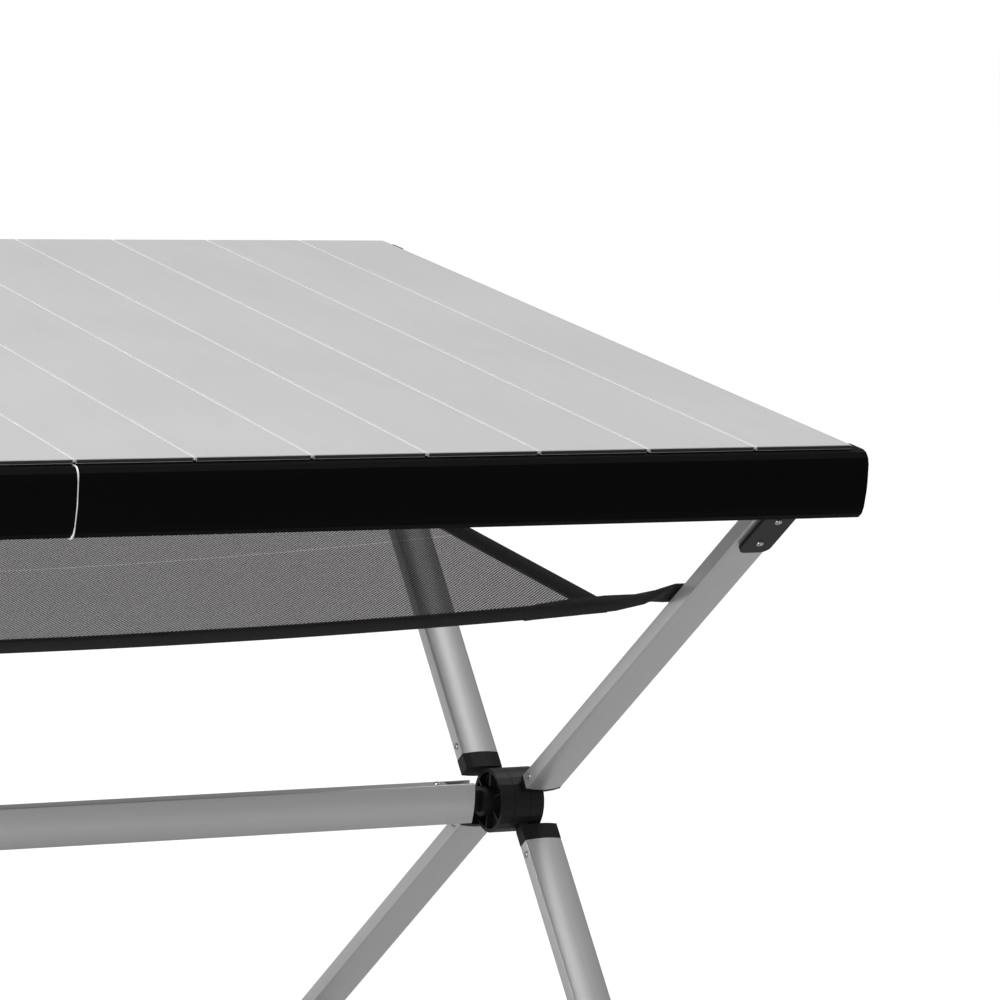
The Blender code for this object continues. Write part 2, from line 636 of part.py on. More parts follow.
def net_half():
    """Front half of the net: one grid of cords in a flat sheet with open gaps."""
    bm = bmesh.new()
    low_x = -SHELF_HALF_LENGTH + BINDING_WIDTH + TOUCH
    low_y = -SHELF_Y + BINDING_WIDTH + TOUCH
    high_y = -TOUCH / 2
    xs = bar_edges(low_x, -low_x, NET_COLUMNS)
    ys = bar_edges(low_y, high_y, NET_ROWS)
    half = NET_THICKNESS / 2
    grids = [[[bm.verts.new((x, y, z)) for y in ys] for x in xs] for z in (-half, half)]
    filled = {(i, j) for i in range(len(xs) - 1) for j in range(len(ys) - 1) if i % 2 == 0 or j % 2 == 0}
    for i, j in filled:
        ring = ((i, j), (i + 1, j), (i + 1, j + 1), (i, j + 1))
        for grid in grids:
            bm.faces.new([grid[a][b] for a, b in ring])
        for step, (di, dj) in enumerate(((0, -1), (1, 0), (0, 1), (-1, 0))):
            if (i + di, j + dj) in filled:
                continue
            (a, b), (c, d) = ring[step], ring[(step + 1) % 4]
            bm.faces.new((grids[0][a][b], grids[0][c][d], grids[1][c][d], grids[1][a][b]))
    return hung(bm, SHELF_HEIGHT)


def bar_edges(low, high, gaps):
    """Edges of gaps + 1 bars of NET_CORD width, evenly spaced from low to high."""
    step = (high - low - NET_CORD) / gaps
    return [low + step * bar + edge for bar in range(gaps + 1) for edge in (0, NET_CORD)]


def binding_cells(plane):
    """Corner points (x, y) of the cells of the binding's right corner and of its long edge."""
    outer_x, outer_y, tab = SHELF_HALF_LENGTH, SHELF_Y, CORNER_TAB
    inner_x, inner_y = outer_x - BINDING_WIDTH, outer_y - BINDING_WIDTH
    reach = plane - LEG_WIDTH / 2 - RUN
    half_strap = STRAP_WIDTH / 2
    corner = (inner_x, -inner_y)
    high, low = (reach, -outer_y + half_strap), (reach, -outer_y - half_strap)
    flare_x, flare_y = (outer_x, -outer_y + tab), (outer_x - tab / 3, -outer_y - RUN)
    start = outer_x - tab
    steps = [start - 2 * start * step / BINDING_STEPS for step in range(BINDING_STEPS + 1)]
    right = [[(inner_x, -TOUCH / 2), corner, flare_x, (outer_x, -TOUCH / 2)],
             [corner, high, flare_x], [corner, low, high], [corner, flare_y, low],
             [corner, (start, -inner_y), (start, -outer_y), flare_y]]
    left = [[(-x, y) for x, y in cell] for cell in right]
    edge = [[(before, -inner_y), (after, -inner_y), (after, -outer_y), (before, -outer_y)]
            for before, after in zip(steps, steps[1:])]
    return right + edge + left


def binding_half(plane):
    """Front half of the binding, three sides, with corner tabs that run on into straps to legs on a plane."""
    cells = binding_cells(plane)
    half = BINDING_THICKNESS / 2
    bm = bmesh.new()
    layers = [{}, {}]
    for cell in cells:
        for x, y in cell:
            for layer, z in zip(layers, (-half, half)):
                key = (round(x, 7), round(y, 7))
                if key not in layer:
                    layer[key] = bm.verts.new((x, y, z))
    edges = {}
    for cell in cells:
        keys = [(round(x, 7), round(y, 7)) for x, y in cell]
        for layer in layers:
            bm.faces.new([layer[key] for key in keys])
        for index, key in enumerate(keys):
            pair = frozenset((keys[index - 1], key))
            edges[pair] = None if pair in edges else (keys[index - 1], key)
    for ends in edges.values():
        if ends:
            low, high = ([layer[key] for key in ends] for layer in layers)
            bm.faces.new((low[0], low[1], high[1], high[0]))
    hung(bm, SHELF_HEIGHT)
    bmesh.ops.triangulate(bm, faces=bm.faces)
    return bm


def make_shelf(net_finish, binding_finish):
    net = shape(net_half())
    piece("shelf_net_front", net, net_finish)
    piece("shelf_net_back", mirrored(net, y=-1), net_finish)
    piece("shelf_binding_front", shape(binding_half(OUTER_PLANE)), binding_finish)
    piece("shelf_binding_back", mirrored(shape(binding_half(INNER_PLANE)), y=-1), binding_finish)


# Bodies: every piece rides on one, and each moving one turns about its pivot
def bodies():
    """Name: (parent, pivot, pieces)."""
    slat_names = [f"slat_{index:02d}" for index in range(1, 2 * SLATS_PER_SIDE + 1)]
    feet = {("a", "front"): OUTER_PLANE, ("b", "back"): INNER_PLANE}
    made = {"root": (None, (-OUTER_PLANE, -FOOT_Y, FOOT_PIN_HEIGHT), ["foot_front_left"])}
    parents = {("a", "left"): "root", ("b", "left"): "yoke_left",
               ("a", "right"): "yoke_right", ("b", "right"): "yoke_right"}
    made["leg_a_left"] = ("root", (-OUTER_PLANE, -FOOT_Y, FOOT_PIN_HEIGHT), leg_pieces("a", "left"))
    made["yoke_left"] = ("leg_a_left", (-HUB_X, 0, HUB_HEIGHT), ["yoke_left", "hub_pin_left"])
    made["cross_tube_left"] = ("yoke_left", (-PIVOT_X, 0, HUB_HEIGHT),
                               ["cross_tube_left", "yoke_pin_left", "cross_tube_hinge_pin"])
    made["cross_tube_right"] = ("cross_tube_left", (0, 0, TUBE_HINGE_Z), ["cross_tube_right", "yoke_pin_right"])
    made["yoke_right"] = ("cross_tube_right", (PIVOT_X, 0, HUB_HEIGHT), ["yoke_right", "hub_pin_right"])
    for (leg, end), parent in parents.items():
        if (leg, end) != ("a", "left"):
            made[f"leg_{leg}_{end}"] = (parent, (side_of(end) * HUB_X, 0, HUB_HEIGHT), leg_pieces(leg, end))
    for (leg, row), plane in feet.items():
        for end in ("left", "right"):
            if (leg, end) == ("a", "left"):
                continue
            y = -FOOT_Y if row == "front" else FOOT_Y
            made[f"foot_{row}_{end}"] = (f"leg_{leg}_{end}", (side_of(end) * plane, y, FOOT_PIN_HEIGHT),
                                         [f"foot_{row}_{end}"])
    for row, leg, y, plane in (("front", "b", -LEG_TOP_Y, OUTER_PLANE), ("back", "a", LEG_TOP_Y, INNER_PLANE)):
        for end in ("left", "right"):
            made[f"hanger_{row}_{end}"] = (f"leg_{leg}_{end}", (side_of(end) * plane, y, LEG_TOP_Z),
                                           [f"hanger_{row}_{end}"])
        y_rail = RAIL_INNER_Y * (-1 if row == "front" else 1)
        made[f"rail_{row}_left"] = (f"hanger_{row}_left", (-PIVOT_X, y_rail, RAIL_PIVOT_Z),
                                    [f"rail_{row}_left", f"rail_hinge_pin_{row}"])
        made[f"rail_{row}_right"] = (f"rail_{row}_left", (0, y_rail, RAIL_HINGE_Z), [f"rail_{row}_right"])
        y_shelf = SHELF_Y * (-1 if row == "front" else 1)
        made[f"shelf_{row}"] = (f"leg_{leg}_left", (-plane, y_shelf, SHELF_HEIGHT),
                                [f"shelf_net_{row}", f"shelf_binding_{row}"])
    made["top"] = ("yoke_left", (0, 0, TOP_HEIGHT), [MIDDLE_SLAT])
    for index, name in enumerate(slat_names, 1):
        if name == MIDDLE_SLAT:
            continue
        right = index > SLATS_PER_SIDE
        nearer = slat_names[index - 2 if right else index]
        seam = (index - right - SLATS_PER_SIDE) * SLAT_PITCH
        made[name] = ("top" if nearer == MIDDLE_SLAT else nearer, (seam, 0, TOP_HEIGHT), [name])
    return made


def side_of(end):
    return 1 if end == "right" else -1


def leg_pieces(leg, end):
    hub = ["hub_a"] if leg == "a" else ["hub_b_inner", "hub_b_outer"]
    tubes = [f"leg_{leg}_upper_tube", f"leg_{leg}_lower_tube", f"leg_{leg}_head"]
    return [f"{name}_{end}" for name in tubes + hub]


def join_bodies():
    empties = {}
    waiting = dict(bodies())
    pivots = {name: Vector(pivot) for name, (_, pivot, _) in waiting.items()}
    while waiting:
        for name, (parent, pivot, names) in list(waiting.items()):
            if parent and parent not in empties:
                continue
            empty = bpy.data.objects.new(f"{name}_body", None)
            bpy.context.scene.collection.objects.link(empty)
            empty.empty_display_size = 0.03
            empty.parent = empties.get(parent)
            empty.location = pivots[name] - (pivots[parent] if parent else Vector())
            for piece_name in names:
                made = pieces[piece_name]
                made.data.transform(Matrix.Translation(-pivots[name]))
                made.parent = empty
            empties[name] = empty
            del waiting[name]


def main():
    for old in list(bpy.data.objects):
        bpy.data.objects.remove(old)
    silver = material("slat_silver", (0.60, 0.60, 0.60), 0.42, 0.6)
    aluminium = material("leg_aluminium", (0.55, 0.55, 0.55), 0.35, 0.9)
    black_metal = material("rail_black", (0.02, 0.02, 0.02), 0.4, 0.3)
    black_plastic = material("black_plastic", (0.025, 0.025, 0.025), 0.5)
    steel = material("pin_steel", (0.5, 0.5, 0.5), 0.3, 1.0)
    net = material("shelf_net", (0.06, 0.06, 0.06), 0.8)
    binding = material("shelf_binding", (0.015, 0.015, 0.015), 0.85)
    rubber = material("foot_rubber", (0.02, 0.02, 0.02), 0.7)
    make_slats(silver)
    make_rails(black_metal, steel)
    make_legs(aluminium)
    make_leg_heads(black_plastic)
    make_hubs(black_plastic)
    make_yokes(black_plastic, steel)
    make_cross_tube(aluminium, steel)
    make_hangers(black_plastic)
    make_feet(rubber)
    make_shelf(net, binding)
    join_bodies()


main()
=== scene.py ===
"""Folding camp table: finishes, trim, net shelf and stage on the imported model."""

import json
from contextlib import contextmanager
from math import cos, radians, sin

import bmesh
import bpy
from bpy.props import FloatProperty, FloatVectorProperty, PointerProperty
from mathutils import Matrix, Vector


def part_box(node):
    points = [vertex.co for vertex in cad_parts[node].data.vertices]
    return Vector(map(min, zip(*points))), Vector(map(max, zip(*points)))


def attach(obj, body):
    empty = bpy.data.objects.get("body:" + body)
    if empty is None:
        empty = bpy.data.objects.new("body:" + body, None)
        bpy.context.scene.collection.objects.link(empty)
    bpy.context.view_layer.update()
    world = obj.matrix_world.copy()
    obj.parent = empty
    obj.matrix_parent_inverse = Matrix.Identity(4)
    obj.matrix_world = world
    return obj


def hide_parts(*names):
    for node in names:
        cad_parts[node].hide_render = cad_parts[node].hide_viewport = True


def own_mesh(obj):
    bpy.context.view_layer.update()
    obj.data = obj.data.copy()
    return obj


bl_info = {
    "name": "Folding Camp Table",
    "version": (1, 0, 0),
    "blender": (4, 5, 0),
    "location": "3D View > Sidebar > Camp Table",
    "description": "Dresses a folding camp table with its finishes, trim, net shelf and stage",
    "category": "Object",
}

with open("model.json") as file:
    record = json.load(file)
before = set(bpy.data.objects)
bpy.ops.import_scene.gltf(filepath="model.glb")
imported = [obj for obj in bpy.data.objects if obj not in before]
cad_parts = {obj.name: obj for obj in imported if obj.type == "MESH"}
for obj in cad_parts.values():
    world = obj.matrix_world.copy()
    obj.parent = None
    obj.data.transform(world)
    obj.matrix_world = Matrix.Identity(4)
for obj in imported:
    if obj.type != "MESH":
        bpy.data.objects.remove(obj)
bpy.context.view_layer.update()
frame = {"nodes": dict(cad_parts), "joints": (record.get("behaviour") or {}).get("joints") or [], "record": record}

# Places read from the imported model
JOINTS = {joint["name"]: joint for joint in frame["joints"]}
SLATS = sorted(name for name in frame["nodes"] if name.startswith("slat_"))
TOP_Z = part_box("slat_08")[1].z
SLAT_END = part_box("slat_08")[1].y
HUB = Vector(JOINTS["leg_a_right_turn"]["pos_m"])
TUBE_PIVOT = Vector(JOINTS["tube_right_turn"]["pos_m"])
TUBE_HINGE = Vector(JOINTS["tube_middle"]["pos_m"])
LEG_TOP = {"a": Vector(JOINTS["hanger_back_right_turn"]["pos_m"]),
           "b": Vector(JOINTS["hanger_front_right_turn"]["pos_m"])}
LEG_FOOT = {"a": Vector(JOINTS["foot_front_right_turn"]["pos_m"]),
            "b": Vector(JOINTS["foot_back_right_turn"]["pos_m"])}
SHELF_Y = -JOINTS["shelf_front_turn"]["pos_m"][1]
SHELF_Z = JOINTS["shelf_front_turn"]["pos_m"][2]
ENDS = {"right": 1, "left": -1}
ROWS = {"front": -1, "back": 1}
X, Y, Z = Vector((1, 0, 0)), Vector((0, 1, 0)), Vector((0, 0, 1))
TINY = 1e-5


# Settings
def length(name, words, value):
    return FloatProperty(name=name, description=words, default=value, min=0, unit="LENGTH")


def colour(name, words, grey):
    return FloatVectorProperty(name=name, description=words, default=(grey, grey, grey), size=3,
                               min=0, max=1, subtype="COLOR")


class CampTableTrim(bpy.types.PropertyGroup):
    cap_proud: length("Cap proud", "How far an end cap stands out of its slat", 0.0004)
    cap_drop: length("Cap drop", "Height of an end cap below the slat's top edge", 0.0027)
    # The bright strip is a painted highlight of the slats' rounded edges.
    strip_width: length("Strip width", "Width of the bright strip in a slat seam", 0.0014)
    strip_drop: length("Strip drop", "Depth of the strip below the top", 0.0002)
    # The bright plate is painted light seen through the gap between the rail halves.
    plate_thickness: length("Plate thickness", "Bright plate in the middle seam of a rail", 0.0008)
    screw_radius: length("Screw radius", "Radius of a screw head on a tube", 0.0028)
    screw_height: length("Screw height", "Height of a screw head", 0.0011)
    screw_inset: length("Screw inset", "From a leg tube's end at the hub to its screws", 0.0100)
    plate_screw_high: length("Upper plate screw",
                             "From a leg's top pin to its plate's upper screw", 0.0230)
    plate_screw_low: length("Lower plate screw",
                            "From a leg's top pin to its plate's lower screw", 0.0550)
    plate_face: length("Plate face", "From a leg's middle to the face of its plate", 0.0113)


class CampTableTubes(bpy.types.PropertyGroup):
    width: length("Width", "Width of a leg tube across its broad faces", 0.032)
    cross_width: length("Cross tube width", "Height of the cross tube", 0.033)
    side: length("Side", "Width of a tube's flat side", 0.0115)
    crown: length("Crown", "Rise of a tube's broad face", 0.00225)
    wall: length("Wall", "Wall of a tube", 0.0018)
    ridge: length("Ridge", "Bevel along the edge of a flat side", 0.0005)
    collar_end_a: length("Collar end A", "From the hub's axis to the tubes of leg A", 0.0413)
    collar_end_b: length("Collar end B", "From the hub's axis to the tubes of leg B", 0.0313)
    head_gap: length("Head gap", "From a leg's top pin to its tube's end", 0.0153)
    foot_reach: length("Foot reach", "Tube below a foot's pin", 0.0068)
    stub: length("Stub", "Cross tube past its pivot", 0.014)


class CampTableShelf(bpy.types.PropertyGroup):
    half_length: length("Half length", "Half of the shelf's length", 0.505)
    tape_width: length("Tape width", "Width of the edge binding", 0.012)
    tape_height: length("Tape height", "Height of the edge binding", 0.0095)
    edge_sag: length("Edge sag", "Sag of the long edges", 0.014)
    middle_sag: length("Middle sag", "Further sag of the middle", 0.007)
    tab: length("Tab", "Length of a reinforced corner", 0.070)
    weave: length("Weave", "Pitch of the net's threads", 0.0034)


class CampTableColours(bpy.types.PropertyGroup):
    slat: colour("Slat", "Anodised slats", 0.60)
    # Seam strip colour: painted highlight on the slat seams and painted light through the rail seams.
    strip: colour("Seam strip", "Bright strips in the seams", 0.95)
    tube: colour("Tube", "Aluminium tubes", 0.60)
    rail: colour("Rail", "Black coated rails", 0.001)
    cap: colour("Cap", "End caps of the slats", 0.020)
    plastic: colour("Plastic", "Hub, hangers and leg heads", 0.006)
    rubber: colour("Rubber", "Feet", 0.016)
    steel: colour("Steel", "Pins and screws", 0.55)
    net: colour("Net", "Threads of the net", 0.020)
    tape: colour("Tape", "Binding and straps", 0.008)


# Modelling
def only(piece):
    bpy.ops.object.select_all(action="DESELECT")
    piece.select_set(True)
    bpy.context.view_layer.objects.active = piece


def added(name, operator, **settings):
    bpy.ops.object.select_all(action="DESELECT")
    operator(**settings)
    piece = bpy.context.object
    piece.name = piece.data.name = name
    return piece


def settled(piece):
    """Applies the piece's place, so that its object sits at the origin."""
    only(piece)
    bpy.ops.object.transform_apply(location=True, rotation=True, scale=True)
    return piece


def block(name, low, high):
    low, high = Vector(low), Vector(high)
    return settled(added(name, bpy.ops.mesh.primitive_cube_add, size=1,
                         location=(low + high) / 2, scale=high - low))


@contextmanager
def edit_mode(piece):
    only(piece)
    bpy.ops.object.mode_set(mode="EDIT")
    yield
    bpy.ops.object.mode_set(mode="OBJECT")


def pick(piece, kind, test):
    """Selects the vertices, edges or faces, in edit mode, that pass a test."""
    bpy.ops.mesh.select_mode(type=kind)
    bpy.ops.mesh.select_all(action="DESELECT")
    mesh = bmesh.from_edit_mesh(piece.data)
    mesh.normal_update()
    for part in {"VERT": mesh.verts, "EDGE": mesh.edges, "FACE": mesh.faces}[kind]:
        if test(part):
            part.select_set(True)
    mesh.select_flush_mode()
    bmesh.update_edit_mesh(piece.data)


def runs_along(edge, axis):
    way = (edge.verts[1].co - edge.verts[0].co).normalized()
    return abs(way.dot(axis)) > 0.999


def middle(edge):
    return (edge.verts[0].co + edge.verts[1].co) / 2


def applied(piece, kind, **settings):
    modifier = piece.modifiers.new(kind.title(), kind)
    for name, value in settings.items():
        setattr(modifier, name, value)
    only(piece)
    bpy.ops.object.modifier_apply(modifier=modifier.name)
    return piece


def smoothed(piece, angle=30):
    only(piece)
    bpy.ops.object.shade_smooth_by_angle(angle=radians(angle))
    return piece


def stood(piece, origin, along, across):
    """Stands a piece modelled along Z in its place, with its X turned to across."""
    side = along.cross(across)
    place = Matrix((across, side, along)).transposed().to_4x4()
    place.translation = origin
    piece.matrix_world = place
    return settled(piece)


def copied(piece, name, x=1, y=1):
    """Copy with its own mesh, mirrored where x or y is -1."""
    only(piece)
    bpy.ops.object.duplicate(linked=False)
    copy = bpy.context.object
    copy.name = copy.data.name = name
    copy.scale = (x, y, 1)
    settled(copy)
    if x * y < 0:
        with edit_mode(copy):
            bpy.ops.mesh.select_all(action="SELECT")
            bpy.ops.mesh.normals_make_consistent(inside=False)
    return copy


def placed(piece, body, finish):
    piece.data.materials.clear()
    piece.data.materials.append(finish)
    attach(piece, body)
    return piece


def lofted(name, rings):
    """Skin over rings of points, closed at both ends."""
    mesh = bmesh.new()
    loops = [[mesh.verts.new(point) for point in ring] for ring in rings]
    for low, high in zip(loops, loops[1:]):
        for index in range(len(low)):
            mesh.faces.new((low[index - 1], low[index], high[index], high[index - 1]))
    mesh.faces.new(loops[0][::-1])
    mesh.faces.new(loops[-1])
    bmesh.ops.recalc_face_normals(mesh, faces=mesh.faces)
    data = bpy.data.meshes.new(name)
    mesh.to_mesh(data)
    mesh.free()
    piece = bpy.data.objects.new(name, data)
    bpy.context.scene.collection.objects.link(piece)
    return piece


# Shader expressions
class Value:
    """A socket whose operators add Math nodes."""

    def __init__(self, finish, socket):
        self.finish, self.socket = finish, socket

    def __add__(self, other):
        return self.finish.maths("ADD", self, other)

    def __radd__(self, other):
        return self.finish.maths("ADD", other, self)

    def __sub__(self, other):
        return self.finish.maths("SUBTRACT", self, other)

    def __rsub__(self, other):
        return self.finish.maths("SUBTRACT", other, self)

    def __mul__(self, other):
        return self.finish.maths("MULTIPLY", self, other)

    def __rmul__(self, other):
        return self.finish.maths("MULTIPLY", other, self)

    def __lt__(self, other):
        return self.finish.maths("LESS_THAN", self, other)


class Finish:
    """A material with one Principled shader."""

    def __init__(self, name, metallic=0.0):
        self.material = bpy.data.materials.new(name)
        self.material.use_nodes = True
        self.tree = self.material.node_tree
        self.shader = self.tree.nodes["Principled BSDF"]
        self.shader.inputs["Metallic"].default_value = metallic
        self.place = Value(self, self.node("ShaderNodeTexCoord").outputs["Object"])

    def node(self, kind, settings=None, sockets=None):
        made = self.tree.nodes.new(kind)
        for name, value in (settings or {}).items():
            setattr(made, name, value)
        for name, value in (sockets or {}).items():
            self.feed(made.inputs[name], value)
        return made

    def feed(self, socket, value):
        if isinstance(value, Value):
            self.tree.links.new(value.socket, socket)
        else:
            socket.default_value = value

    def maths(self, operation, *values):
        made = self.node("ShaderNodeMath", {"operation": operation}, dict(enumerate(values)))
        return Value(self, made.outputs[0])

    def turned(self, scale, turn=0.0, about=0):
        """Object coordinates, turned about X, Y or Z and then scaled."""
        angles = [0.0, 0.0, 0.0]
        angles[about] = turn
        first = self.node("ShaderNodeMapping", None, {"Vector": self.place, "Rotation": angles})
        last = self.node("ShaderNodeMapping", None,
                         {"Vector": Value(self, first.outputs[0]), "Scale": scale})
        return Value(self, last.outputs[0])

    def noise(self, place, scale=1.0, detail=3.0):
        made = self.node("ShaderNodeTexNoise", None,
                         {"Vector": place, "Scale": scale, "Detail": detail})
        return Value(self, made.outputs["Fac"])

    def axes(self, place):
        made = self.node("ShaderNodeSeparateXYZ", None, {"Vector": place})
        return [Value(self, output) for output in made.outputs]

    def blend(self, factor, low, high):
        made = self.node("ShaderNodeMix", {"data_type": "RGBA"})
        self.feed(made.inputs["Factor"], factor)
        made.inputs[6].default_value = (*low, 1)
        made.inputs[7].default_value = (*high, 1)
        return Value(self, made.outputs[2])

    def bump(self, height, strength, distance):
        made = self.node("ShaderNodeBump", None,
                         {"Height": height, "Strength": strength, "Distance": distance})
        self.feed(self.shader.inputs["Normal"], Value(self, made.outputs[0]))

    def set(self, **sockets):
        for name, value in sockets.items():
            self.feed(self.shader.inputs[name.replace("_", " ")], value)


def shaded(base, amount):
    return tuple(channel * amount for channel in base)


def anodised_slat(base):
    """Pale anodised sheet with a fine grain along the slat."""
    finish = Finish("slat_silver_fine", metallic=0.35)
    grain = finish.noise(finish.turned((900, 18, 900)), detail=2)
    cloud = finish.noise(finish.turned((7, 5, 7)))
    tone = grain * 0.5 + cloud * 0.5
    finish.set(Base_Color=finish.blend(tone, shaded(base, 0.92), shaded(base, 1.06)),
               Roughness=grain * 0.10 + cloud * 0.06 + 0.36)
    finish.bump(grain, 0.12, 0.0001)
    return finish.material


def drawn_tube(name, base, turn=0.0, about=0, streaks=(700, 700, 6)):
    """Drawn aluminium with fine streaks along the tube."""
    finish = Finish(name, metallic=0.72)
    streak = finish.noise(finish.turned(streaks, turn, about), detail=2)
    cloud = finish.noise(finish.turned((11, 11, 11)))
    tone = streak * 0.6 + cloud * 0.4
    finish.set(Base_Color=finish.blend(tone, shaded(base, 0.93), shaded(base, 1.07)),
               Roughness=streak * 0.08 + cloud * 0.05 + 0.27)
    finish.bump(streak, 0.10, 0.00008)
    return finish.material


def coated_rail(base):
    """Black powder coat with a faint orange peel."""
    finish = Finish("rail_black_coat")
    peel = finish.noise(finish.turned((1400, 1400, 1400)), detail=1)
    cloud = finish.noise(finish.turned((9, 9, 9)))
    finish.set(Base_Color=finish.blend(cloud, shaded(base, 0.8), shaded(base, 1.6)),
               Roughness=peel * 0.08 + cloud * 0.06 + 0.55, Specular_IOR_Level=0.06)
    finish.bump(peel, 0.10, 0.00008)
    return finish.material


def moulded(name, base, roughness, grain_size=900):
    """Moulded black part with a fine eroded texture."""
    finish = Finish(name)
    grain = finish.noise(finish.turned((grain_size,) * 3), detail=2)
    cloud = finish.noise(finish.turned((30, 30, 30)))
    finish.set(Base_Color=finish.blend(cloud, shaded(base, 0.75), shaded(base, 1.5)),
               Roughness=grain * 0.12 + roughness - 0.06, Specular_IOR_Level=0.25)
    finish.bump(grain, 0.15, 0.00010)
    return finish.material


def turned_metal(name, base, metallic, roughness):
    finish = Finish(name, metallic=metallic)
    scratch = finish.noise(finish.turned((1500, 60, 1500)), detail=2)
    finish.set(Base_Color=finish.blend(scratch, shaded(base, 0.85), shaded(base, 1.1)),
               Roughness=scratch * 0.12 + roughness)
    return finish.material


THREAD_FILL = 0.62
RIBS_PER_METRE = 900


def threads(finish, pitch, fill):
    """Cover and height of two families of crossing diagonal threads."""
    along, across, _ = finish.axes(finish.place)
    first = finish.maths("PINGPONG", (along + across) * (1 / pitch), 0.5)
    second = finish.maths("PINGPONG", (along - across) * (1 / pitch), 0.5)
    near = finish.maths("MINIMUM", first, second)
    return near < fill / 2, near


def net_weave(base, pitch):
    """Black net of diagonal threads with open gaps between them."""
    finish = Finish("shelf_net_weave")
    cover, height = threads(finish, pitch, THREAD_FILL)
    fuzz = finish.noise(finish.turned((1100, 1100, 1100)), detail=1)
    finish.set(Base_Color=finish.blend(fuzz, shaded(base, 0.7), shaded(base, 3.0)),
               Roughness=fuzz * 0.2 + 0.6, Alpha=cover)
    finish.bump(1 - height, 0.5, 0.0005)
    return finish.material


def woven_tape(base):
    """Black webbing with small ribs along both ways."""
    finish = Finish("shelf_tape_weave")
    along, across, up = finish.axes(finish.place)
    rib = (finish.maths("PINGPONG", along * RIBS_PER_METRE, 0.5)
           * finish.maths("PINGPONG", (across + up) * RIBS_PER_METRE, 0.5))
    fuzz = finish.noise(finish.turned((800, 800, 800)), detail=2)
    finish.set(Base_Color=finish.blend(rib * 2 + fuzz * 0.3, shaded(base, 0.7), shaded(base, 2.4)),
               Roughness=fuzz * 0.15 + 0.72)
    finish.bump(rib * 2 + fuzz * 0.4, 0.6, 0.0004)
    return finish.material


# Operators
class CAMPTABLE_OT_finishes(bpy.types.Operator):
    """Give the model's own solids their finishes"""
    bl_idname = "camp_table.finishes"
    bl_label = "Finishes"

    def execute(self, context):
        tones = context.scene.camp_table_colours
        made = {
            "slat_silver": anodised_slat(tones.slat),
            "leg_aluminium": drawn_tube("tube_drawn_cross", tones.tube, streaks=(6, 700, 700)),
            "rail_black": coated_rail(tones.rail),
            "black_plastic": moulded("hub_moulded", tones.plastic, 0.42),
            "pin_steel": turned_metal("pin_turned", tones.steel, 0.9, 0.25),
            "shelf_net": net_weave(tones.net, context.scene.camp_table_shelf.weave),
            "shelf_binding": woven_tape(tones.tape),
            "foot_rubber": moulded("foot_moulded", tones.rubber, 0.7, 500),
        }
        for leg, top in LEG_TOP.items():
            way = top - LEG_FOOT[leg]
            lean = Z.angle(Vector((0, way.y, way.z))) * (1 if way.y > 0 else -1)
            drawn_tube(f"tube_drawn_{leg}", tones.tube, turn=lean)
        for entry in frame["record"]["subparts"]:
            for slot in frame["nodes"][entry["node"]].material_slots:
                slot.material = made[entry["material_slot"]]
        return {"FINISHED"}


def slat_body(name):
    return "top" if name == frame["record"]["behaviour"]["bodies"]["top"][0] else name


# End caps: gap to the slat, inset from its sides and its top, and bevel
CAP_GAP, CAP_INSET, CAP_BELOW_TOP, CAP_BEVEL = 0.0001, 0.0008, 0.0005, 0.00012
# Seam strips, near-white pieces that paint the highlight of the slats' rounded edges in the seams: overlap with
# the left slat, inset from its ends, depth and bevel
STRIP_OVERLAP, STRIP_INSET, STRIP_BASE, STRIP_BEVEL = 0.0001, 0.0004, 0.0022, 0.0002


class CAMPTABLE_OT_slat_trim(bpy.types.Operator):
    """Add the end caps of the slats and the bright strips in their seams, which are painted highlights of the
    slats' rounded edges
    """
    bl_idname = "camp_table.slat_trim"
    bl_label = "Slat trim"

    def execute(self, context):
        trim, tones = context.scene.camp_table_trim, context.scene.camp_table_colours
        dark = moulded("cap_moulded", tones.cap, 0.45)
        # Near-white strip colour: painted highlight standing in for the light caught by the slats' rounded edges.
        bright = turned_metal("strip_painted_highlight", tones.strip, 0.3, 0.35)
        for name in SLATS:
            low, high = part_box(name)
            for row, side in ROWS.items():
                inner, outer = side * (SLAT_END + CAP_GAP), side * (SLAT_END + trim.cap_proud)
                cap = block(f"cap_{name}_{row}",
                            (low.x + CAP_INSET, min(inner, outer), TOP_Z - trim.cap_drop),
                            (high.x - CAP_INSET, max(inner, outer), TOP_Z - CAP_BELOW_TOP))
                with edit_mode(cap):
                    pick(cap, "EDGE", lambda edge: side * middle(edge).y > SLAT_END + 2 * CAP_GAP)
                    bpy.ops.mesh.bevel(offset=CAP_BEVEL, segments=2)
                placed(cap, slat_body(name), dark)
        for name in SLATS[:-1]:
            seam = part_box(name)[1].x
            strip = block(f"strip_{name}",
                          (seam - STRIP_OVERLAP, STRIP_INSET - SLAT_END, TOP_Z - STRIP_BASE),
                          (seam + trim.strip_width, SLAT_END - STRIP_INSET, TOP_Z - trim.strip_drop))
            with edit_mode(strip):
                pick(strip, "EDGE", lambda edge: runs_along(edge, Y)
                     and middle(edge).z > TOP_Z - STRIP_BASE / 2)
                bpy.ops.mesh.bevel(offset=STRIP_BEVEL, segments=2)
            placed(strip, slat_body(name), bright)
        return {"FINISHED"}


# Seam plates, near-white pieces that paint the light showing through the gap between the rail halves: stands proud
# of the rail, starts below the top, reaches under the rail, and depth
PLATE_PROUD, PLATE_BELOW_TOP, PLATE_UNDER, PLATE_DEPTH = 0.0002, 0.0036, 0.0001, 0.030
# Inset and radius of the plate's corners
PLATE_TOP_CORNER, PLATE_BOTTOM_CORNER = (0.0020, 0.0060), (0.0030, 0.0072)


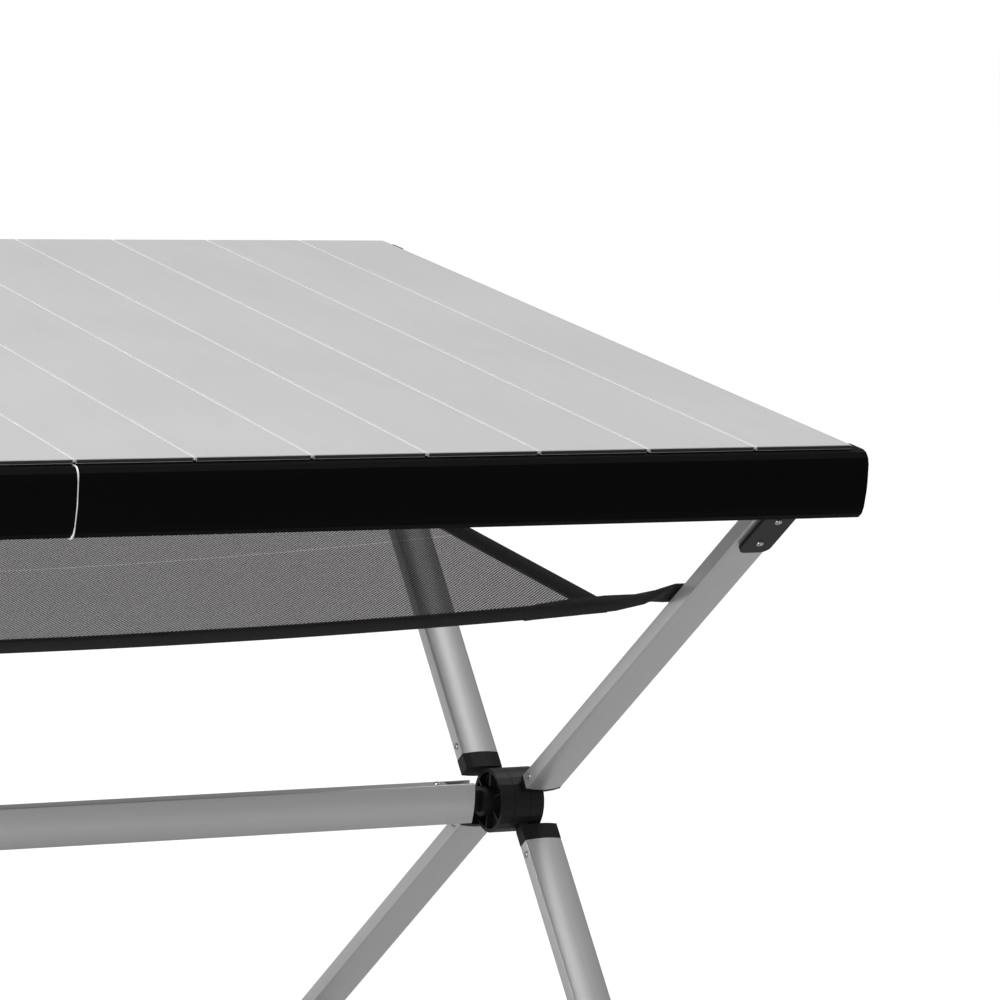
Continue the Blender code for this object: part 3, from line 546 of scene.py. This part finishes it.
class CAMPTABLE_OT_rail_seams(bpy.types.Operator):
    """Add the bright plate in the middle seam of each rail, painted light that shows through the gap between the
    rail halves
    """
    bl_idname = "camp_table.rail_seams"
    bl_label = "Rail seams"

    def execute(self, context):
        trim, tones = context.scene.camp_table_trim, context.scene.camp_table_colours
        low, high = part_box("rail_front_right")
        half = trim.plate_thickness / 2
        face, top, bottom = low.y - PLATE_PROUD, TOP_Z - PLATE_BELOW_TOP, low.z - PLATE_UNDER
        plate = block("seam_plate_front", (-half, face, bottom), (half, face + PLATE_DEPTH, top))
        with edit_mode(plate):
            bpy.ops.mesh.select_all(action="SELECT")
            bpy.ops.mesh.bisect(plane_co=(0, 0, (top + bottom) / 2), plane_no=(0, 0, 1))
            for level, (inset, radius) in ((top, PLATE_TOP_CORNER), (bottom, PLATE_BOTTOM_CORNER)):
                pick(plate, "EDGE", lambda edge: runs_along(edge, X)
                     and abs(middle(edge).z - level) < TINY and abs(middle(edge).y - face) < TINY)
                bpy.ops.transform.translate(value=(0, inset, 0))
                bpy.ops.mesh.bevel(offset=radius, segments=5)
        smoothed(plate)
        back = copied(plate, "seam_plate_back", y=-1)
        # Near-white plate: painted light in place of the light that shows through the gap between the rail halves.
        bright = turned_metal("seam_plate_painted_light", tones.strip, 0.3, 0.35)
        placed(plate, "rail_front_left", bright)
        placed(back, "rail_back_left", bright)
        return {"FINISHED"}


CROWN_CUTS = 11


def drawn_section(name, width, low, high, sizes):
    """Hollow tube along Z: flat sides across X, crowned broad faces across Y."""
    half = width / 2
    tube = block(name, (-half, -sizes.side / 2, low), (half, sizes.side / 2, high))
    with edit_mode(tube):
        pick(tube, "EDGE", lambda edge: runs_along(edge, X))
        bpy.ops.mesh.subdivide(number_cuts=CROWN_CUTS)
        for row in range(1, CROWN_CUTS + 1):
            across = width * (row / (CROWN_CUTS + 1) - 0.5)
            rise = sizes.crown * (1 - (2 * across / width) ** 2)
            for way in (-1, 1):
                pick(tube, "VERT", lambda vert: abs(vert.co.x - across) < TINY
                     and way * vert.co.y > 0)
                bpy.ops.transform.translate(value=(0, way * rise, 0))
        pick(tube, "EDGE", lambda edge: runs_along(edge, Z)
             and abs(abs(middle(edge).x) - half) < TINY)
        bpy.ops.mesh.bevel(offset=sizes.ridge, segments=3)
        pick(tube, "FACE", lambda face: abs(face.normal.z) > 0.99)
        bpy.ops.mesh.delete(type="FACE")
    applied(tube, "SOLIDIFY", thickness=sizes.wall, offset=-1)
    return smoothed(tube, 25)


# Cross tube: gap at its middle, and the slot for the yoke's tongue
TUBE_SEAM, SLOT_HALF, SLOT_INSIDE, SLOT_PAST = 0.0005, 0.0035, 0.0095, 0.010
# Hinge under its middle: knuckle radius and length, gap between knuckles, and the leaves
KNUCKLE_RADIUS, KNUCKLE_LENGTH, KNUCKLE_GAP, KNUCKLE_BEVEL = 0.003, 0.003, 0.0003, 0.0003
LEAF_START, LEAF_LENGTH, LEAF_RISE, LEAF_ABOVE_PIN, LEAF_BEVEL = 0.0035, 0.030, 0.0005, 0.0022, 0.0004


class CAMPTABLE_OT_tubes(bpy.types.Operator):
    """Model the leg tubes and both halves of the cross tube"""
    bl_idname = "camp_table.tubes"
    bl_label = "Tubes"

    def execute(self, context):
        sizes = context.scene.camp_table_tubes
        for leg in "ab":
            finish = bpy.data.materials[f"tube_drawn_{leg}"]
            for part, pin, past in (("upper", LEG_TOP[leg], -sizes.head_gap),
                                    ("lower", LEG_FOOT[leg], sizes.foot_reach)):
                hub = Vector((pin.x, HUB.y, HUB.z))
                along = (pin - hub).normalized()
                name = f"leg_{leg}_{part}_tube"
                start = sizes.collar_end_a if leg == "a" else sizes.collar_end_b
                right = drawn_section(f"drawn_{name}_right", sizes.width, start,
                                      (pin - hub).length + past, sizes)
                stood(right, hub, along, X)
                left = copied(right, f"drawn_{name}_left", x=-1)
                for tube, end in ((right, "right"), (left, "left")):
                    placed(tube, f"leg_{leg}_{end}", finish)
                    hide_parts(f"{name}_{end}")
        self.cross_tube(sizes)
        return {"FINISHED"}

    def cross_tube(self, sizes):
        finish = bpy.data.materials["tube_drawn_cross"]
        reach = TUBE_PIVOT.x + sizes.stub
        right = drawn_section("drawn_cross_tube_right", sizes.cross_width, TUBE_SEAM, reach, sizes)
        stood(right, Vector((0, 0, HUB.z)), X, Z)
        cutter = block("slot", (TUBE_PIVOT.x - SLOT_INSIDE, -SLOT_HALF, HUB.z),
                       (reach + SLOT_PAST, SLOT_HALF, HUB.z + sizes.cross_width))
        applied(right, "BOOLEAN", operation="DIFFERENCE", object=cutter)
        bpy.data.objects.remove(cutter)
        left = copied(right, "drawn_cross_tube_left", x=-1)
        for tube, end in ((right, "right"), (left, "left")):
            placed(tube, f"cross_tube_{end}", finish)
            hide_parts(f"cross_tube_{end}")
        self.hinge_leaves()

    def hinge_leaves(self):
        """Leaves and knuckles of the hinge under the cross tube's middle."""
        steel = bpy.data.materials["pin_turned"]
        start = -(3 * KNUCKLE_LENGTH + 2 * KNUCKLE_GAP) / 2
        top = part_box("cross_tube_hinge_pin")[1].z + LEAF_ABOVE_PIN
        for end, slots in (("right", (1,)), ("left", (0, 2))):
            side = ENDS[end]
            near, far = sorted((side * LEAF_START, side * LEAF_LENGTH))
            leaf = block(f"tube_hinge_leaf_{end}", (near, start, TUBE_HINGE.z + LEAF_RISE),
                         (far, -start, top))
            with edit_mode(leaf):
                bpy.ops.mesh.select_all(action="SELECT")
                bpy.ops.mesh.bevel(offset=LEAF_BEVEL, segments=2)
            placed(leaf, f"cross_tube_{end}", steel)
            for slot in slots:
                centre = start + slot * (KNUCKLE_LENGTH + KNUCKLE_GAP) + KNUCKLE_LENGTH / 2
                barrel = added(f"tube_knuckle_{end}_{slot}", bpy.ops.mesh.primitive_cylinder_add,
                               vertices=24, radius=KNUCKLE_RADIUS, depth=KNUCKLE_LENGTH,
                               rotation=(radians(90), 0, 0), location=(0, centre, TUBE_HINGE.z))
                settled(barrel)
                with edit_mode(barrel):
                    pick(barrel, "EDGE", lambda edge: not runs_along(edge, Y))
                    bpy.ops.mesh.bevel(offset=KNUCKLE_BEVEL, segments=2)
                smoothed(barrel)
                placed(barrel, f"cross_tube_{end}", steel)


def screw_head(name, radius, height):
    """Pan head along Z with a round-cornered drive recess."""
    head = settled(added(name, bpy.ops.mesh.primitive_cylinder_add, vertices=24, radius=radius,
                         depth=height, location=(0, 0, height / 2)))
    with edit_mode(head):
        pick(head, "EDGE", lambda edge: middle(edge).z > height - TINY)
        bpy.ops.mesh.bevel(offset=height * 0.45, segments=3)
        pick(head, "FACE", lambda face: face.normal.z > 0.99
             and face.calc_center_median().z > height - TINY)
        bpy.ops.mesh.inset(thickness=radius * 0.22)
        bpy.ops.mesh.extrude_region_move(TRANSFORM_OT_translate={"value": (0, 0, -height * 0.55)})
    return smoothed(head)


TUBE_SCREW_INSET = 0.017


class CAMPTABLE_OT_screws(bpy.types.Operator):
    """Add the screw heads on the tubes and the leg heads"""
    bl_idname = "camp_table.screws"
    bl_label = "Screws"

    def execute(self, context):
        trim = context.scene.camp_table_trim
        tubes = context.scene.camp_table_tubes
        steel = bpy.data.materials["pin_turned"]
        pattern = screw_head("screw_pattern", trim.screw_radius, trim.screw_height)
        places = []
        starts = {"a": tubes.collar_end_a, "b": tubes.collar_end_b}
        for leg, start in starts.items():
            for pin in (LEG_TOP[leg], LEG_FOOT[leg]):
                hub = Vector((pin.x, HUB.y, HUB.z))
                along = (pin - hub).normalized()
                for face in (-1, 1):
                    spot = hub + along * (start + trim.screw_inset)
                    spot += X * face * (tubes.width / 2)
                    places.append((spot, X * face, along, f"leg_{leg}"))
        for leg, pin in LEG_TOP.items():
            along = (pin - Vector((pin.x, HUB.y, HUB.z))).normalized()
            out = Vector((0, along.z, -along.y)) * (1 if along.y > 0 else -1)
            for back in (trim.plate_screw_high, trim.plate_screw_low):
                spot = pin - along * back + out * trim.plate_face
                places.append((spot, out, along, f"leg_{leg}"))
        top = Vector((TUBE_PIVOT.x - TUBE_SCREW_INSET, 0, HUB.z + tubes.cross_width / 2))
        places.append((top, Z, X, "cross_tube"))
        for index, (spot, out, across, body) in enumerate(places):
            right = copied(pattern, f"screw_{index:02d}_right")
            stood(right, spot, out, across)
            left = copied(right, f"screw_{index:02d}_left", x=-1)
            placed(right, f"{body}_right", steel)
            placed(left, f"{body}_left", steel)
        bpy.data.objects.remove(pattern)
        return {"FINISHED"}


# Section of a tape, and the steps of the sheet and of its binding
OVAL_STEPS, OVAL_SQUARENESS = 14, 0.6
NET_COLUMNS, NET_LINES, BINDING_STEPS = 64, 16, 40
# Gaps at the shelf's middle line, of the sheets and of the bindings
SHEET_GAP, BINDING_GAP = 0.0002, 0.0003
# Strap: where it turns up before the leg, how far it reaches past it, its place past the
# shelf's edge, its height over the leg, and the leg's own lean
STRAP_BEFORE_LEG, STRAP_PAST_LEG, STRAP_PAST_EDGE, STRAP_LIFT = 0.017, 0.010, 0.0006, 0.0108
LEG_LEAN = radians(90 - 46.7)
# Strap's sections up to the leg: share of the way, width, thickness, share of the turn
STRAP_SECTIONS = ((0.0, 0.007, 0.0100, 0.0), (0.12, 0.015, 0.0100, 0.0),
                  (0.35, 0.021, 0.0100, 0.0), (0.62, 0.024, 0.0094, 0.05),
                  (0.80, 0.025, 0.0080, 0.30), (0.92, 0.026, 0.0055, 0.75),
                  (1.0, 0.027, 0.0036, 1.0))


def sag(shelf, x, y):
    along = max(0.0, 1 - (x / shelf.half_length) ** 2)
    across = max(0.0, 1 - (y / SHELF_Y) ** 2)
    return shelf.edge_sag * along + shelf.middle_sag * across * along


def hung(shelf, x, y):
    return Vector((x, y, SHELF_Z - sag(shelf, x, y)))


def oval(width, height):
    """Section points (across, up) of a soft-cornered tape."""
    points = []
    for step in range(OVAL_STEPS):
        turn = radians(360 * step / OVAL_STEPS)
        reach = [abs(part) ** OVAL_SQUARENESS * (1 if part > 0 else -1)
                 for part in (cos(turn), sin(turn))]
        points.append((reach[0] * width / 2, reach[1] * height / 2))
    return points


class CAMPTABLE_OT_shelf(bpy.types.Operator):
    """Hang the net shelf with its binding and corner straps"""
    bl_idname = "camp_table.shelf"
    bl_label = "Net shelf"

    def execute(self, context):
        shelf = context.scene.camp_table_shelf
        net = bpy.data.materials["shelf_net_weave"]
        tape = bpy.data.materials["shelf_tape_weave"]
        for row, side in ROWS.items():
            leg = "b" if row == "front" else "a"
            plane = LEG_TOP[leg].x
            binding = self.binding(shelf, row, side)
            straps = [self.strap(shelf, row, side, end, plane) for end in ENDS]
            sheet, flat = self.net(shelf, row, side)
            placed(sheet, f"shelf_{row}", net)
            for soft in (binding, *straps):
                placed(soft, f"shelf_{row}", tape)
            for soft in (sheet, binding, *straps):
                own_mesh(soft)
            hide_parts(f"shelf_net_{row}")
            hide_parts(f"shelf_binding_{row}")
        return {"FINISHED"}

    def net(self, shelf, row, side):
        reach = shelf.half_length - shelf.tape_width / 2
        edge = SHELF_Y - shelf.tape_width / 2
        sheet = added(f"net_{row}", bpy.ops.mesh.primitive_grid_add, x_subdivisions=NET_COLUMNS,
                      y_subdivisions=NET_LINES, size=1,
                      location=(0, side * (edge + SHEET_GAP) / 2, 0))
        sheet.scale = (2 * reach, edge - SHEET_GAP, 1)
        settled(sheet)
        for vert in sheet.data.vertices:
            vert.co = hung(shelf, vert.co.x, vert.co.y)
        return smoothed(sheet, 60), (2 * reach, edge)

    def binding(self, shelf, row, side):
        """Folded tape along the two short edges and the long one, mitred at the corners."""
        out_x, out_y = shelf.half_length - shelf.tape_width / 2, SHELF_Y - shelf.tape_width / 2
        steps = [out_x - 2 * out_x * step / BINDING_STEPS for step in range(BINDING_STEPS + 1)]
        path = [(out_x, BINDING_GAP), *[(x, out_y) for x in steps], (-out_x, BINDING_GAP)]
        rings = []
        for index, (x, y) in enumerate(path):
            starts = max(index, 1) - 1, min(index, len(path) - 2)
            before, after = ((Vector(path[start + 1]) - Vector(path[start])).normalized()
                             for start in starts)
            way = (before + after).normalized()
            across = Vector((way.y, -way.x)) / max(0.5, way.dot(after))
            rings.append([hung(shelf, x + u * across.x, side * (y + u * across.y)) + Z * v
                          for u, v in oval(shelf.tape_width, shelf.tape_height)])
        return smoothed(lofted(f"binding_{row}", rings), 50)

    def strap(self, shelf, row, side, end, plane):
        """Reinforced corner that turns up behind the leg and ends on its upper face."""
        way = ENDS[end]
        start, near_leg = shelf.half_length - shelf.tab, plane - STRAP_BEFORE_LEG
        places = [(start + (near_leg - start) * share, *rest) for share, *rest in STRAP_SECTIONS]
        places.append((plane + STRAP_PAST_LEG, *STRAP_SECTIONS[-1][1:]))
        rings = []
        for x, width, thickness, turned in places:
            inner = min(x, shelf.half_length)
            edge = SHELF_Y + STRAP_PAST_EDGE
            y = (edge - width / 2) * (1 - turned) + SHELF_Y * turned
            centre = hung(shelf, inner, y)
            centre.x, centre.y = way * x, side * centre.y
            lean = turned * LEG_LEAN
            across = Vector((0, -side * cos(lean), -sin(lean)))
            up = Vector((0, -side * sin(lean), cos(lean)))
            centre += up * STRAP_LIFT * turned
            rings.append([centre + across * u + up * v for u, v in oval(width, thickness)])
        return smoothed(lofted(f"strap_{row}_{end}", rings), 50)


# Floor: size, drop below the feet, grey, and how bright and how far the camera sees it pale
FLOOR_SIZE, FLOOR_DROP, FLOOR_GREY, FLOOR_GLOW, FLOOR_SHARE = 14, 0.0006, 0.52, 1.27, 0.75
WORLD_STRENGTH = 0.32
CAMERA_PLACE, CAMERA_LENS, SENSOR = (-1.1489, -3.2439, 1.3758), 169.6, 36
CAMERA_HEADING, CAMERA_TILT, CAMERA_ROLL = -27.324, 90 - 12.440, 4.995


class CAMPTABLE_OT_stage(bpy.types.Operator):
    """Set the floor, the lamps, the world and the camera"""
    bl_idname = "camp_table.stage"
    bl_label = "Stage"

    def execute(self, context):
        self.floor()
        self.world(context.scene)
        self.lamp("lamp_above", (0.4, 0.6, 3.2), target=(0, 0, 0.7), size=3.6, power=80)
        self.lamp("lamp_left", (-3.8, -1.8, 1.2), target=(0, 0, 0.4), size=2.0, power=190)
        self.camera(context.scene)
        context.scene.view_settings.view_transform = "Standard"
        return {"FINISHED"}

    def floor(self):
        floor = added("floor", bpy.ops.mesh.primitive_plane_add, size=FLOOR_SIZE,
                      location=(0, 0, -FLOOR_DROP))
        settled(floor)
        finish = Finish("floor_pale")
        finish.set(Base_Color=(FLOOR_GREY, FLOOR_GREY, FLOOR_GREY, 1), Roughness=0.9)
        ray = finish.node("ShaderNodeLightPath")
        glow = finish.node("ShaderNodeEmission", None, {"Strength": FLOOR_GLOW})
        mix = finish.node("ShaderNodeMixShader")
        seen = Value(finish, ray.outputs["Is Camera Ray"]) * FLOOR_SHARE
        finish.feed(mix.inputs[0], seen)
        finish.tree.links.new(finish.shader.outputs[0], mix.inputs[1])
        finish.tree.links.new(glow.outputs[0], mix.inputs[2])
        finish.tree.links.new(mix.outputs[0], finish.tree.nodes["Material Output"].inputs[0])
        floor.data.materials.append(finish.material)

    def world(self, scene):
        world = bpy.data.worlds.new("studio")
        scene.world = world
        world.use_nodes = True
        tree = world.node_tree
        plain = tree.nodes["Background"]
        plain.inputs["Color"].default_value = (1, 1, 1, 1)
        plain.inputs["Strength"].default_value = WORLD_STRENGTH
        white = tree.nodes.new("ShaderNodeBackground")
        white.inputs["Strength"].default_value = 1.0
        white.inputs["Color"].default_value = (1, 1, 1, 1)
        ray = tree.nodes.new("ShaderNodeLightPath")
        mix = tree.nodes.new("ShaderNodeMixShader")
        seen = tree.nodes.new("ShaderNodeMath")
        seen.operation = "MAXIMUM"
        tree.links.new(ray.outputs["Is Camera Ray"], seen.inputs[0])
        tree.links.new(ray.outputs["Is Transmission Ray"], seen.inputs[1])
        tree.links.new(seen.outputs[0], mix.inputs[0])
        tree.links.new(plain.outputs[0], mix.inputs[1])
        tree.links.new(white.outputs[0], mix.inputs[2])
        tree.links.new(mix.outputs[0], tree.nodes["World Output"].inputs["Surface"])

    def lamp(self, name, place, target, size, power):
        bpy.ops.object.light_add(type="AREA", location=place)
        lamp = bpy.context.object
        lamp.name = name
        lamp.data.size = size
        lamp.data.energy = power
        lamp.rotation_euler = (Vector(target) - Vector(place)).to_track_quat("-Z", "Y").to_euler()

    def camera(self, scene):
        bpy.ops.object.camera_add(location=CAMERA_PLACE)
        camera = bpy.context.object
        turn = (Matrix.Rotation(radians(CAMERA_HEADING), 3, "Z")
                @ Matrix.Rotation(radians(CAMERA_TILT), 3, "X")
                @ Matrix.Rotation(radians(CAMERA_ROLL), 3, "Z"))
        camera.rotation_euler = turn.to_euler()
        camera.data.sensor_width = SENSOR
        camera.data.lens = CAMERA_LENS
        camera.data.clip_end = 50
        scene.camera = camera


class CAMPTABLE_PT_panel(bpy.types.Panel):
    """Lists the steps that dress the table"""
    bl_label = "Camp Table"
    bl_idname = "CAMPTABLE_PT_panel"
    bl_space_type = "VIEW_3D"
    bl_region_type = "UI"
    bl_category = "Camp Table"

    def draw(self, context):
        for step in STEPS:
            self.layout.operator(step.bl_idname)
        for name in GROUPS:
            settings = getattr(context.scene, name)
            box = self.layout.box()
            for key in settings.__annotations__:
                box.prop(settings, key)


GROUPS = {"camp_table_trim": CampTableTrim, "camp_table_tubes": CampTableTubes,
          "camp_table_shelf": CampTableShelf, "camp_table_colours": CampTableColours}
STEPS = (CAMPTABLE_OT_finishes, CAMPTABLE_OT_slat_trim, CAMPTABLE_OT_rail_seams, CAMPTABLE_OT_tubes,
         CAMPTABLE_OT_screws, CAMPTABLE_OT_shelf, CAMPTABLE_OT_stage)
CLASSES = (*GROUPS.values(), *STEPS, CAMPTABLE_PT_panel)


def register():
    for made in CLASSES:
        bpy.utils.register_class(made)
    for name, group in GROUPS.items():
        setattr(bpy.types.Scene, name, PointerProperty(type=group))


def unregister():
    for name in GROUPS:
        delattr(bpy.types.Scene, name)
    for made in reversed(CLASSES):
        bpy.utils.unregister_class(made)


def main():
    register()
    bpy.ops.camp_table.finishes()
    bpy.ops.camp_table.slat_trim()
    bpy.ops.camp_table.rail_seams()
    bpy.ops.camp_table.tubes()
    bpy.ops.camp_table.screws()
    bpy.ops.camp_table.shelf()
    bpy.ops.camp_table.stage()
    bpy.context.view_layer.update()


if __name__ == "__main__":
    main()
